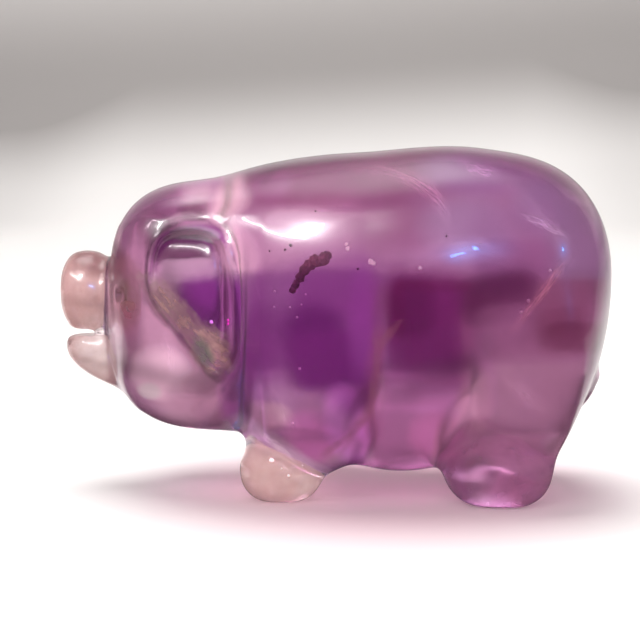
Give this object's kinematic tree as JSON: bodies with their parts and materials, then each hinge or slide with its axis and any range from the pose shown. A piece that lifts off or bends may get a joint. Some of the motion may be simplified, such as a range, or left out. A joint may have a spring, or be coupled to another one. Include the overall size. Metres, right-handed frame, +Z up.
{
  "type": "amethyst piglet carving",
  "caption": "Pocket-sized piglet carved and polished from one piece of banded amethyst, standing on short feet with flat soles.",
  "frame": {"origin": "middle of the bounding box, at the flat soles of the feet", "axes": "+X from the snout towards the rump, +Y across the body, +Z up"},
  "size_m": [0.0418, 0.0194, 0.026],
  "materials": {
    "amethyst": "polished see-through quartz, banded violet"
  },
  "bodies": {
    "root": {"piglet": "amethyst"}
  },
  "joints": []
}
